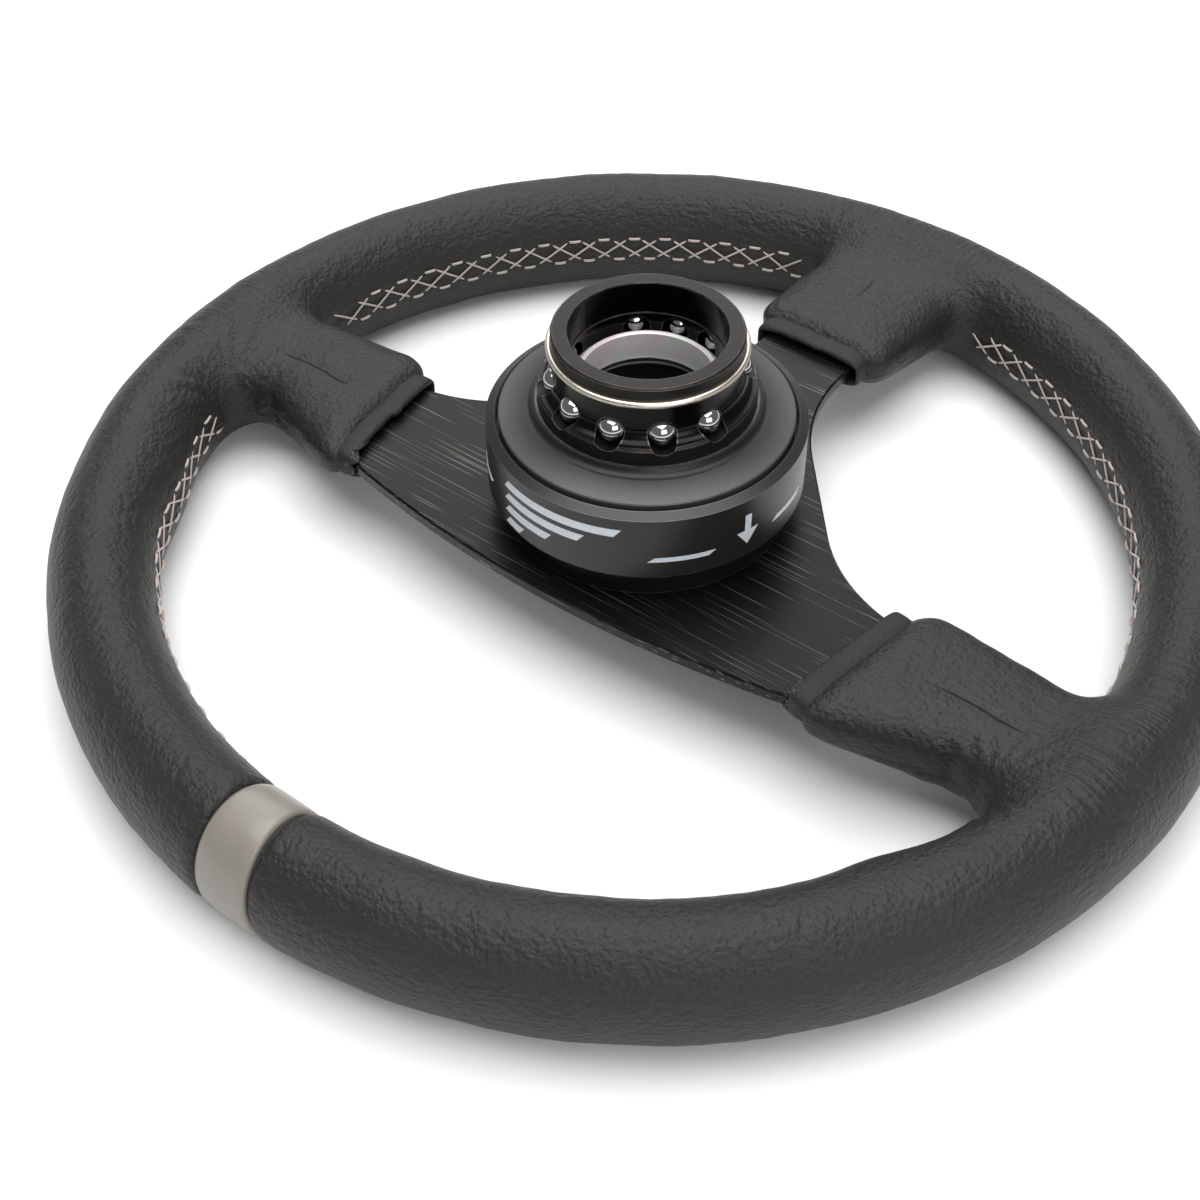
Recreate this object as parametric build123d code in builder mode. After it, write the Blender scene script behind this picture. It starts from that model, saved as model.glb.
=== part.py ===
# A three-spoke motorsport steering wheel with the wheel-side half of a ball-lock quick release.
#
# Millimetres. The origin is on the steering axis at the height of the rim's lowest face, the wheel
# lying face down. +Z runs along the axis towards the column, +Y towards the 12 o'clock marker, and
# the two side spokes point along +X and -X.
from build123d import *
from math import cos, radians, sin
import os

os.makedirs("parts", exist_ok=True)

# --- driving dimensions -----------------------------------------------------------------------
WHEEL_R = 175.0          # outer radius of the rim: a 350 mm wheel
GRIP_A = 15.7            # half the grip's width, measured along the radius
GRIP_B = 19.7            # half the grip's height, measured along Z
LEATHER = 1.4            # thickness of the leather on the rim
HOOP_R = 5.0             # radius of the metal rod inside the rim

PLATE_TOP = 30.0         # the hub is bolted to this face
PLATE_T = 3.5
BOLT_PCD = 70.0          # six M5 screws on a 70 mm circle
BOLT_COUNT = 6

HUB_R = 31.5             # cylinder that carries the collar
PILOT_R = 31.1           # pilot of the joint, just above the cap ring
FLANGE_R = 42.0
FLANGE_T = 6.0
BORE_R = 22.0            # bore of the nose, from its tip to just above the balls
SLEEVE_BORE_R = 21.6     # and below them, where the locking sleeve runs
NOSE_R = 26.9            # outside of the nose
NOSE_TOP = 89.6

COLLAR_R = 46.0
COLLAR_BOTTOM = 39.5
COLLAR_TRAVEL = 4.5      # towards the wheel, to release
SLIDE = 0.05             # radial clearance of a sliding fit

BALL_R = 3.969           # 5/16 inch bearing ball
BALL_Z = 74.5
BALL_PATH_R = 25.6       # centre of a locked ball
BALL_SINK = 2.8          # how far a ball falls in when the collar is pulled
BALL_STEP = 30.0
BLANK_STATIONS = (6, 11) # two of the twelve stations carry no ball

BUTTON_TRAVEL = 2.5

# --- values worked out from them ---------------------------------------------------------------
GRIP_R = WHEEL_R - GRIP_A        # centreline of the rim
GRIP_Z = GRIP_B
PLATE_Z = PLATE_TOP - PLATE_T
HOOP_Z = PLATE_Z - HOOP_R + 1.5  # the spoke ends lap over the rod by 1.5 mm
FLANGE_TOP = PLATE_TOP + FLANGE_T


def radial_plane(angle):
    """The plane that holds the axis: local x points outwards at this angle, local y along +Z."""
    a = radians(angle)
    return Plane(origin=(0, 0, 0), x_dir=(cos(a), sin(a), 0), z_dir=(sin(a), -cos(a), 0))


def grip_arc(start, span, inset, hollow=0.0):
    """A stretch of the rim's oval section, inset from the grip's surface and maybe hollow."""
    with BuildPart() as arc:
        with BuildSketch(radial_plane(start)):
            with Locations((GRIP_R, GRIP_Z)):
                Ellipse(GRIP_A - inset, GRIP_B - inset)
                if hollow:
                    Ellipse(GRIP_A - hollow, GRIP_B - hollow, mode=Mode.SUBTRACT)
        revolve(axis=Axis.Z, revolution_arc=span)
    return arc.part


def ring(outer, inner, bottom, top):
    """A plain ring about the axis."""
    with BuildPart() as body:
        with BuildSketch(Plane.XY.offset(bottom)):
            Circle(outer)
            Circle(inner, mode=Mode.SUBTRACT)
        extrude(amount=top - bottom)
    return body.part


def save(part, name):
    part.label = name
    export_step(part, "parts/" + name + ".step")
    print(name, round(part.volume, 1), len(part.solids()))


# --- spoke plate: 3.5 mm aluminium, three arms and the hub's bolt circle -------------------------
HEM_TILT = 9.2                   # the side hems are square to a line that rises this much
TOP_MID = (0, 50.3)              # outline of the right half, from 12 o'clock round to 6 o'clock
TOP_END = (74.2, 43.0)
ARM_TOP = (156.5, 24.0)
ARM_LOW = (158.5, 12.9)
WAIST_SIDE = (66.0, -1.5)
WAIST_FOOT = (15.4, -62.0)
FOOT_END = (17.5, -158.0)
RIGHT_HALF = (TOP_END, ARM_TOP, ARM_LOW, WAIST_SIDE, WAIST_FOOT, FOOT_END)
WAIST_FILLET_SIDE = 55.0
WAIST_FILLET_FOOT = 60.0
PLATE_HOLE_R = 26.9

with BuildPart() as rim_hoop:
    with BuildSketch(radial_plane(0)):
        with Locations((GRIP_R, HOOP_Z)):
            Circle(HOOP_R)
    revolve(axis=Axis.Z, revolution_arc=360)

with BuildPart() as spoke_plate:
    with BuildSketch(Plane.XY.offset(PLATE_Z)) as outline:
        with BuildLine():
            ThreePointArc((-TOP_END[0], TOP_END[1]), TOP_MID, TOP_END)
            Polyline(*RIGHT_HALF)
            Line(FOOT_END, (-FOOT_END[0], FOOT_END[1]))
            Polyline(*[(-x, y) for x, y in RIGHT_HALF])
        make_face()
        for corner, radius in ((WAIST_SIDE, WAIST_FILLET_SIDE), (WAIST_FOOT, WAIST_FILLET_FOOT)):
            for side in (1, -1):
                here = Vector(side * corner[0], corner[1])
                fillet(outline.vertices().sort_by_distance(here)[0], radius)
    extrude(amount=PLATE_T)
    chamfer(spoke_plate.faces().sort_by(Axis.Z)[-1].edges(), 0.6)
    with BuildSketch(Plane.XY.offset(PLATE_Z)):
        Circle(PLATE_HOLE_R)
        with PolarLocations(BOLT_PCD / 2, BOLT_COUNT):
            Circle(2.7)
    extrude(amount=PLATE_T, mode=Mode.SUBTRACT)
    add(rim_hoop.part, mode=Mode.SUBTRACT)

save(rim_hoop.part, "rim_hoop")
save(spoke_plate.part, "spoke_plate")

# --- rim: moulded foam on the rod, then leather in four lengths that meet at the spokes -----------
MARKER_HALF = 2.9                # half the marker's arc in degrees: a 16 mm band
SIDE_SEAM = 11.5                 # the seams hide where the spokes enter the rim

with BuildPart() as rim_foam:
    add(grip_arc(0, 360, LEATHER))
    add(rim_hoop.part, mode=Mode.SUBTRACT)
    add(spoke_plate.part, mode=Mode.SUBTRACT)
save(rim_foam.part, "rim_foam")

LEATHER_ARCS = {
    "rim_leather_upper_right": (SIDE_SEAM, 90 - MARKER_HALF - SIDE_SEAM),
    "rim_leather_upper_left": (90 + MARKER_HALF, 90 - MARKER_HALF - SIDE_SEAM),
    "rim_leather_lower_left": (180 - SIDE_SEAM, 90 + SIDE_SEAM),
    "rim_leather_lower_right": (270, 90 + SIDE_SEAM),
}
for name, (start, span) in LEATHER_ARCS.items():
    with BuildPart() as rim_leather:
        add(grip_arc(start, span, 0.0, LEATHER))
        add(spoke_plate.part, mode=Mode.SUBTRACT)
    save(rim_leather.part, name)

with BuildPart() as marker_band:
    add(grip_arc(90 - MARKER_HALF, 2 * MARKER_HALF, 0.15, LEATHER))
save(marker_band.part, "marker_band")

# The cross stitching closes the leather along the inner side of the rim, between the spokes.
STITCH_ARCS = ((16, 148), (186, 72), (282, 72))
STITCH_FACE = GRIP_R - GRIP_A - 0.1
with BuildPart() as rim_stitching:
    for start, span in STITCH_ARCS:
        with BuildSketch(radial_plane(start)):
            with Locations((STITCH_FACE - 0.3, GRIP_Z)):
                Rectangle(0.6, 8)
        revolve(axis=Axis.Z, revolution_arc=span)
save(rim_stitching.part, "rim_stitching")


# --- spoke boots: leather sleeves drawn round each arm and run into the rim -----------------------
# Heights of each section's lower and upper side: the hem, the bulge behind it and the root.
BOOT_HEIGHTS = ((22.2, 34.2), (17.0, 35.8), (9.0, 35.0))


def spoke_boot(sections):
    """A closed sleeve through its sections, each a centre, a heading and a width."""
    with BuildPart() as boot:
        for (centre, heading, width), (low, high) in zip(sections, BOOT_HEIGHTS):
            a = radians(heading)
            at = (*centre, (low + high) / 2)
            with BuildSketch(Plane(origin=at, x_dir=(-sin(a), cos(a), 0), z_dir=(cos(a), sin(a), 0))):
                RectangleRounded(width, high - low, 5)
        loft(ruled=True)
        add(grip_arc(0, 360, 0.0), mode=Mode.SUBTRACT)
        add(spoke_plate.part, mode=Mode.SUBTRACT)
    return boot.part


BOOT_ROOT = GRIP_R - 8
SIDE_BOOT = (((81.2, 20.4), HEM_TILT, 44.5), ((92.5, 19.5), HEM_TILT, 54.0), ((BOOT_ROOT, 13.2), 0, 40.0))
FOOT_BOOT = (((0, -87.5), 270, 37.5), ((0, -99.0), 270, 50.0), ((0, -BOOT_ROOT), 270, 51.0))
save(spoke_boot(SIDE_BOOT), "spoke_boot_right")
save(spoke_boot([((-x, y), 180 - heading, width) for (x, y), heading, width in SIDE_BOOT]),
     "spoke_boot_left")
save(spoke_boot(FOOT_BOOT), "spoke_boot_lower")


# --- nose body: one turned piece, from the flange on the plate up to the nose's tip ---------------
BOSS_TOP = 72.5                  # the balls sit in a hollow race just above the boss
CAP_TOP = 67.0                   # lip of the cap ring pressed on the hub cylinder
LEDGE_Z = 79.5                   # small step in the bore above the balls
RACE_R = 4.0
GROOVE_Z = 84.8                  # the wire ring's groove
WIRE_R = 1.0
POCKET_R = 27.3                  # the horn housing fits up into the flange from below
POCKET_TOP = 34.0
PIN_Z = 54.4                     # three pins tie the collar to the sleeve inside
PIN_R = 2.0
PIN_ANGLES = (90, 210, 330)
SCREW_R = 2.5

ball_angles = [15 + BALL_STEP * k for k in range(12) if k not in BLANK_STATIONS]

with BuildPart() as nose_body:
    with BuildSketch(radial_plane(0)) as profile:
        with BuildLine():
            Polyline((SLEEVE_BORE_R, PLATE_TOP), (FLANGE_R, PLATE_TOP), (FLANGE_R, FLANGE_TOP),
                     (HUB_R, FLANGE_TOP), (HUB_R, CAP_TOP), (PILOT_R, CAP_TOP),
                     (PILOT_R, BOSS_TOP - 0.8), (PILOT_R - 0.7, BOSS_TOP))
            RadiusArc((PILOT_R - 0.7, BOSS_TOP), (NOSE_R, BOSS_TOP + RACE_R), RACE_R)
            Polyline((NOSE_R, BOSS_TOP + RACE_R), (NOSE_R, NOSE_TOP - 0.5), (NOSE_R - 0.5, NOSE_TOP),
                     (BORE_R + 0.3, NOSE_TOP), (BORE_R, NOSE_TOP - 0.3), (BORE_R, LEDGE_Z),
                     (SLEEVE_BORE_R, LEDGE_Z), (SLEEVE_BORE_R, PLATE_TOP))
        make_face()
        with Locations((NOSE_R + 0.45, GROOVE_Z)):
            Circle(WIRE_R, mode=Mode.SUBTRACT)
    revolve(axis=Axis.Z, revolution_arc=360)
    with BuildSketch(Plane.XY.offset(PLATE_TOP)):
        Circle(POCKET_R)
    extrude(amount=POCKET_TOP - PLATE_TOP, mode=Mode.SUBTRACT)
    with BuildSketch(Plane.XY.offset(PLATE_TOP)):
        with PolarLocations(BOLT_PCD / 2, BOLT_COUNT):
            Circle(SCREW_R)
    extrude(amount=FLANGE_T, mode=Mode.SUBTRACT)
    # Radial holes for the balls, a little larger than they are, right through the wall.
    for angle in ball_angles:
        a = radians(angle)
        start = (15 * cos(a), 15 * sin(a), BALL_Z)
        with BuildSketch(Plane(origin=start, x_dir=(-sin(a), cos(a), 0), z_dir=(cos(a), sin(a), 0))):
            Circle(BALL_R + 0.05)
        extrude(amount=18, mode=Mode.SUBTRACT)
    # Slots that let the pins travel with the collar.
    for angle in PIN_ANGLES:
        a = radians(angle)
        mid = (15 * cos(a), 15 * sin(a), PIN_Z - COLLAR_TRAVEL / 2)
        with BuildSketch(Plane(origin=mid, x_dir=(0, 0, 1), z_dir=(cos(a), sin(a), 0))):
            SlotCenterToCenter(COLLAR_TRAVEL, 2 * PIN_R + 0.4)
        extrude(amount=20, mode=Mode.SUBTRACT)
save(nose_body.part, "nose_body")

with BuildPart() as nose_wire_ring:
    with BuildSketch(radial_plane(0)):
        with Locations((NOSE_R + 0.45, GROOVE_Z)):
            Circle(WIRE_R)
    revolve(axis=Axis.Z, revolution_arc=360)
save(nose_wire_ring.part, "nose_wire_ring")

# Fixed cap ring over the collar's chamber: a flared top face, pressed on the hub cylinder.
CAP_R = 42.2
CAP_BOTTOM = 57.0
with BuildPart() as cap_ring:
    with BuildSketch(radial_plane(0)):
        with BuildLine():
            Polyline((HUB_R, CAP_BOTTOM), (CAP_R, CAP_BOTTOM), (CAP_R, 62.6), (CAP_R - 0.3, 62.9),
                     (34.6, 65.0))
            RadiusArc((34.6, 65.0), (HUB_R + 0.4, CAP_TOP), 3.0)
            Polyline((HUB_R + 0.4, CAP_TOP), (HUB_R, CAP_TOP), (HUB_R, CAP_BOTTOM))
        make_face()
    revolve(axis=Axis.Z, revolution_arc=360)
save(cap_ring.part, "cap_ring")

# --- release collar: skirt and guide web in one turned piece --------------------------------------
SKIRT_IN = 42.9
WEB_BOTTOM = 52.0
WEB_TOP = CAP_BOTTOM - 0.2
with BuildPart() as release_collar:
    with BuildSketch(radial_plane(0)):
        with BuildLine():
            Polyline((HUB_R + SLIDE, WEB_BOTTOM), (SKIRT_IN, WEB_BOTTOM), (SKIRT_IN, COLLAR_BOTTOM),
                     (COLLAR_R - 0.6, COLLAR_BOTTOM), (COLLAR_R, COLLAR_BOTTOM + 0.6),
                     (COLLAR_R, 60.3), (SKIRT_IN + 0.5, 61.8), (SKIRT_IN, 61.4),
                     (SKIRT_IN, WEB_TOP), (HUB_R + SLIDE, WEB_TOP), (HUB_R + SLIDE, WEB_BOTTOM))
        make_face()
    revolve(axis=Axis.Z, revolution_arc=360)
    for angle in PIN_ANGLES:
        a = radians(angle)
        start = (28 * cos(a), 28 * sin(a), PIN_Z)
        with BuildSketch(Plane(origin=start, x_dir=(0, 0, 1), z_dir=(cos(a), sin(a), 0))):
            Circle(PIN_R)
        extrude(amount=12, mode=Mode.SUBTRACT)
save(release_collar.part, "release_collar")

# Locking sleeve: hardened steel, slides in the nose and props the balls out with its top corner.
SLEEVE_TOP = 74.9
SLEEVE_CORNER = 73.0
SLEEVE_R = SLEEVE_BORE_R - SLIDE
SLEEVE_BOTTOM = 50.0
SNAP_Z = 65.6
with BuildPart() as locking_sleeve:
    with BuildSketch(radial_plane(0)):
        with BuildLine():
            Polyline((18.6, 74.4), (19.1, SLEEVE_TOP), (SLEEVE_R - 1.9, SLEEVE_TOP),
                     (SLEEVE_R, SLEEVE_CORNER), (SLEEVE_R, SLEEVE_BOTTOM),
                     (20.2, SLEEVE_BOTTOM), (20.2, 63.4), (18.9, 63.9), (18.9, SNAP_Z - 0.6),
                     (20.3, SNAP_Z - 0.6), (20.3, SNAP_Z + 0.6), (18.6, SNAP_Z + 0.6), (18.6, 74.4))
        make_face()
    revolve(axis=Axis.Z, revolution_arc=360)
    for angle in PIN_ANGLES:
        a = radians(angle)
        start = (15 * cos(a), 15 * sin(a), PIN_Z)
        with BuildSketch(Plane(origin=start, x_dir=(0, 0, 1), z_dir=(cos(a), sin(a), 0))):
            Circle(PIN_R)
        extrude(amount=10, mode=Mode.SUBTRACT)
save(locking_sleeve.part, "locking_sleeve")

# A split snap ring in the sleeve's groove, with its gap towards 12 o'clock's right.
with BuildPart() as sleeve_snap_ring:
    with BuildSketch(radial_plane(60)):
        with Locations((19.25, SNAP_Z)):
            Rectangle(2.0, 1.1)
    revolve(axis=Axis.Z, revolution_arc=352)
save(sleeve_snap_ring.part, "sleeve_snap_ring")

with BuildPart() as link_pins:
    for angle in PIN_ANGLES:
        a = radians(angle)
        start = (20.6 * cos(a), 20.6 * sin(a), PIN_Z)
        with BuildSketch(Plane(origin=start, x_dir=(0, 0, 1), z_dir=(cos(a), sin(a), 0))):
            Circle(PIN_R)
        extrude(amount=19)
save(link_pins.part, "link_pins")

# Ten bearing balls, each in its own radial hole.
for number, angle in enumerate(ball_angles, 1):
    a = radians(angle)
    with BuildPart() as lock_ball:
        with Locations((BALL_PATH_R * cos(a), BALL_PATH_R * sin(a), BALL_Z)):
            Sphere(BALL_R)
    save(lock_ball.part, f"lock_ball_{number:02d}")

# The collar's return spring, round the hub between the flange and the web.
SPRING_WIRE = 1.6
SPRING_TURNS = 3.5
SPRING_R = 36.0
SPRING_LOW = FLANGE_TOP + SPRING_WIRE / 2 + 0.05
SPRING_HEIGHT = WEB_BOTTOM - FLANGE_TOP - SPRING_WIRE - 0.1
with BuildPart() as collar_spring:
    with BuildLine() as coil:
        Helix(pitch=SPRING_HEIGHT / SPRING_TURNS, height=SPRING_HEIGHT, radius=SPRING_R,
              center=(0, 0, SPRING_LOW))
    with BuildSketch(Plane(origin=coil.line @ 0, z_dir=coil.line % 0)):
        Circle(SPRING_WIRE / 2)
    sweep(is_frenet=True)
save(collar_spring.part, "collar_spring")

# --- horn: retaining ring and screws on the front, housing, button, spring and contacts -----------
RING_R = 41.5
RING_T = 3.0
RING_HOLE_R = 25.4
RING_BOTTOM = PLATE_Z - RING_T
with BuildPart() as horn_ring:
    add(ring(RING_R, RING_HOLE_R, RING_BOTTOM, PLATE_Z))
    chamfer(horn_ring.faces().sort_by(Axis.Z)[0].edges(), 0.8)
    with BuildSketch(Plane.XY.offset(RING_BOTTOM)):
        with PolarLocations(BOLT_PCD / 2, BOLT_COUNT):
            Circle(SCREW_R + 0.2)
    extrude(amount=RING_T, mode=Mode.SUBTRACT)
save(horn_ring.part, "horn_ring")

HEAD_R = 4.6
HEAD_T = 2.7
SCREW_TOP = FLANGE_TOP - 0.5
with BuildPart() as hub_screws:
    for k in range(BOLT_COUNT):
        a = radians(360 / BOLT_COUNT * k)
        at = (BOLT_PCD / 2 * cos(a), BOLT_PCD / 2 * sin(a), RING_BOTTOM)
        with BuildSketch(Plane(origin=at, z_dir=(0, 0, 1))):
            Circle(SCREW_R)
        extrude(amount=SCREW_TOP - RING_BOTTOM)
        with BuildSketch(Plane(origin=at, z_dir=(0, 0, -1))):
            Circle(HEAD_R)
        extrude(amount=HEAD_T, taper=18)
        with BuildSketch(Plane(origin=(at[0], at[1], RING_BOTTOM - HEAD_T), z_dir=(0, 0, 1))):
            RegularPolygon(1.7, 6)
        extrude(amount=1.8, mode=Mode.SUBTRACT)
save(hub_screws.part, "hub_screws")

HOUSING_R = 26.6
HOUSING_TOP = 33.5
HOUSING_FLOOR = 31.5
BUTTON_R = 24.3
with BuildPart() as horn_housing:
    with BuildSketch(radial_plane(0)):
        with BuildLine():
            Polyline((0, HOUSING_FLOOR), (24.9, HOUSING_FLOOR), (24.9, 20.5), (25.3, 20.5),
                     (25.3, PLATE_Z), (HOUSING_R, PLATE_Z), (HOUSING_R, HOUSING_TOP),
                     (0, HOUSING_TOP), (0, HOUSING_FLOOR))
        make_face()
    revolve(axis=Axis.Z, revolution_arc=360)
    with BuildSketch(Plane.XY.offset(HOUSING_FLOOR)):
        with Locations((-10, 0), (10, 0)):
            Rectangle(6.3, 0.8)
    extrude(amount=HOUSING_TOP - HOUSING_FLOOR, mode=Mode.SUBTRACT)
save(horn_housing.part, "horn_housing")

# Two blade terminals end in contacts that the disc meets when the button is pressed home.
DISC_TOP = 26.0
CONTACT_LOW = DISC_TOP + BUTTON_TRAVEL + 0.1
with BuildPart() as horn_terminals:
    with BuildSketch(Plane.XY.offset(HOUSING_FLOOR)):
        with Locations((-10, 0), (10, 0)):
            Rectangle(6.3, 0.8)
    extrude(amount=10)
    with BuildSketch(Plane.XY.offset(CONTACT_LOW)):
        with Locations((-10, 0), (10, 0)):
            Rectangle(7.5, 4)
    extrude(amount=HOUSING_FLOOR - CONTACT_LOW)
save(horn_terminals.part, "horn_terminals")

# The button is a domed cap with a skirt that runs in the housing.
DOME_LOW = 13.0
with BuildPart() as horn_button:
    with BuildSketch(radial_plane(0)):
        with BuildLine():
            Polyline((6, DOME_LOW), (0, DOME_LOW), (0, DOME_LOW + 2.0), (5, DOME_LOW + 2.0))
            ThreePointArc((5, DOME_LOW + 2.0), (14, DOME_LOW + 3.1), (22.5, DOME_LOW + 6.0))
            Polyline((22.5, DOME_LOW + 6.0), (22.5, 26.0), (BUTTON_R, 26.0), (BUTTON_R, 18.0))
            ThreePointArc((BUTTON_R, 18.0), (16, DOME_LOW + 1.6), (6, DOME_LOW))
        make_face()
    revolve(axis=Axis.Z, revolution_arc=360)
save(horn_button.part, "horn_button")

with BuildPart() as horn_contact_disc:
    add(ring(20.5, 3.0, DISC_TOP - 0.8, DISC_TOP))
    with BuildSketch(Plane.XY.offset(18.0)):
        Circle(3.0)
    extrude(amount=DISC_TOP - 18.0)
    with BuildSketch(Plane.XY.offset(DOME_LOW + 2.2)):
        Circle(2.0)
    extrude(amount=18.0 - DOME_LOW - 2.2)
save(horn_contact_disc.part, "horn_contact_disc")

HORN_SPRING_LOW = 26.4
HORN_SPRING_HEIGHT = 4.6
with BuildPart() as horn_spring:
    with BuildLine() as horn_coil:
        Helix(pitch=HORN_SPRING_HEIGHT / 2.5, height=HORN_SPRING_HEIGHT, radius=16.0,
              center=(0, 0, HORN_SPRING_LOW))
    with BuildSketch(Plane(origin=horn_coil.line @ 0, z_dir=horn_coil.line % 0)):
        Circle(0.35)
    sweep(is_frenet=True)
save(horn_spring.part, "horn_spring")
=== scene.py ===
from math import cos, pi, radians, sin

import bpy
import numpy as np
from mathutils import Matrix, Vector


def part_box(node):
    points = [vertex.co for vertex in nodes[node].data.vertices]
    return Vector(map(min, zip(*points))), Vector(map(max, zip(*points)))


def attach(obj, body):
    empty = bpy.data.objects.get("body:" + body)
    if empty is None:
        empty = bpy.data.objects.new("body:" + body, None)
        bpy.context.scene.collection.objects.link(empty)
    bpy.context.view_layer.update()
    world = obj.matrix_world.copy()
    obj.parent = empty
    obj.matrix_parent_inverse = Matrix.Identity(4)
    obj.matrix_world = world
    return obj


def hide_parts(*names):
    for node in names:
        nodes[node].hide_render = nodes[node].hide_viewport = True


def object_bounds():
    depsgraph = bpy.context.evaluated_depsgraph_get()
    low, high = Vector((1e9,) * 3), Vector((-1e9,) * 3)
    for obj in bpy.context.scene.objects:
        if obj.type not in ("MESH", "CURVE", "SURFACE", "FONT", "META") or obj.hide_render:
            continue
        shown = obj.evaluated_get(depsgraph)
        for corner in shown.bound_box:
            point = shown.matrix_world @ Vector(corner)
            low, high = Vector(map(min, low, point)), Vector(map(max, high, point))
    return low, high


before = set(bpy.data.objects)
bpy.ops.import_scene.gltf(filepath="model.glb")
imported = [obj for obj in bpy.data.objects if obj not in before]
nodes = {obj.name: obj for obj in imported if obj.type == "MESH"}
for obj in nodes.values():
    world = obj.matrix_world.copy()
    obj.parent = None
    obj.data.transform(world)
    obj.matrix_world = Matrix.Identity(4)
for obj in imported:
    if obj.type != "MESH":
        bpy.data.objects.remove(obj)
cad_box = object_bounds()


# --- spoke plate -----------------------------------------------------------------------------
# One flat aluminium plate with three arms, cut out, linished from side spoke to side spoke and
# anodised black.

class Shade:
    """A socket of a material's node tree, so that sums on it add Math nodes."""

    def __init__(self, finish, socket):
        self.finish = finish
        self.socket = socket

    def maths(self, operation, *values):
        return self.finish.node("ShaderNodeMath", {"operation": operation},
                                {i: v for i, v in enumerate(values)})

    def __add__(self, other):
        return self.maths("ADD", self, other)

    def __radd__(self, other):
        return self.maths("ADD", other, self)

    def __sub__(self, other):
        return self.maths("SUBTRACT", self, other)

    def __rsub__(self, other):
        return self.maths("SUBTRACT", other, self)

    def __mul__(self, other):
        return self.maths("MULTIPLY", self, other)

    def __rmul__(self, other):
        return self.maths("MULTIPLY", other, self)

    def __pow__(self, other):
        return self.maths("POWER", self, other)

    def __abs__(self):
        return self.maths("ABSOLUTE", self)

    def below(self, other):
        return self.maths("LESS_THAN", self, other)

    def above(self, other):
        return self.maths("GREATER_THAN", self, other)

    def clamped(self):
        return self.maths("MINIMUM", self.maths("MAXIMUM", self, 0.0), 1.0)

    def part(self, name):
        """Another output of the same node."""
        return Shade(self.finish, self.socket.node.outputs[name])


class Finish:
    """A material under construction: its tree, its shader and a way to add any node."""

    def __init__(self, name, colour, roughness, metallic=0.0, **fixed):
        self.material = bpy.data.materials.new(name)
        self.material.use_nodes = True
        self.tree = self.material.node_tree
        self.shader = self.tree.nodes["Principled BSDF"]
        self.shader.inputs["Base Color"].default_value = (*colour, 1.0)
        self.shader.inputs["Roughness"].default_value = roughness
        self.shader.inputs["Metallic"].default_value = metallic
        for socket, value in fixed.items():
            self.shader.inputs[socket.replace("_", " ")].default_value = value

    def node(self, kind, settings, sockets, output=0):
        made = self.tree.nodes.new(kind)
        for name, value in settings.items():
            if name == "stops":
                ramp = made.color_ramp.elements
                while len(ramp) < len(value):
                    ramp.new(0.5)
                for element, (place, shade) in zip(ramp, value):
                    element.position = place
                    colour = shade if isinstance(shade, tuple) else (shade,) * 3
                    element.color = (*colour, 1.0)
            else:
                setattr(made, name, value)
        for name, value in sockets.items():
            if isinstance(value, Shade):
                self.tree.links.new(value.socket, made.inputs[name])
            else:
                made.inputs[name].default_value = value
        return Shade(self, made.outputs[output])

    def feed(self, socket, value):
        self.tree.links.new(value.socket, self.shader.inputs[socket])

    def place(self):
        """Object coordinates, in metres."""
        return self.node("ShaderNodeTexCoord", {}, {}, "Object")

    def stretched(self, vector, scale, turn=(0.0, 0.0, 0.0)):
        return self.node("ShaderNodeMapping", {},
                         {"Vector": vector, "Scale": scale, "Rotation": turn})

    def noise(self, vector, scale, detail=2.0, rough=0.5):
        return self.node("ShaderNodeTexNoise", {},
                         {"Vector": vector, "Scale": scale, "Detail": detail, "Roughness": rough})

    def cells(self, vector, scale, feature="F1"):
        return self.node("ShaderNodeTexVoronoi", {"feature": feature},
                         {"Vector": vector, "Scale": scale})

    def ramp(self, value, stops):
        return self.node("ShaderNodeValToRGB", {"stops": stops}, {"Fac": value})

    def mix(self, amount, first, second):
        """Between two colours."""
        made = self.tree.nodes.new("ShaderNodeMix")
        made.data_type = "RGBA"
        for index, value in ((0, amount), (6, first), (7, second)):
            if isinstance(value, Shade):
                self.tree.links.new(value.socket, made.inputs[index])
            elif index == 0:
                made.inputs[index].default_value = value
            else:
                made.inputs[index].default_value = (*value, 1.0)
        return Shade(self, made.outputs[2])

    def bump(self, height, distance, strength):
        return self.node("ShaderNodeBump", {},
                         {"Height": height, "Distance": distance, "Strength": strength})

    def edge(self, radius, start=0.02, full=0.2):
        """Near 1 on convex edges, for wear and for painted edge highlights."""
        soft = self.node("ShaderNodeBevel", {"samples": 4}, {"Radius": radius})
        hard = self.node("ShaderNodeNewGeometry", {}, {}, "Normal")
        along = self.node("ShaderNodeVectorMath", {"operation": "DOT_PRODUCT"},
                          {0: soft, 1: hard}, "Value")
        return ((1.0 - along - start) * (1.0 / (full - start))).clamped()


def dress(finish, *names):
    """Gives CAD nodes their finish."""
    for name in names:
        slots = nodes[name].data.materials
        slots.clear()
        slots.append(finish.material)


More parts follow.
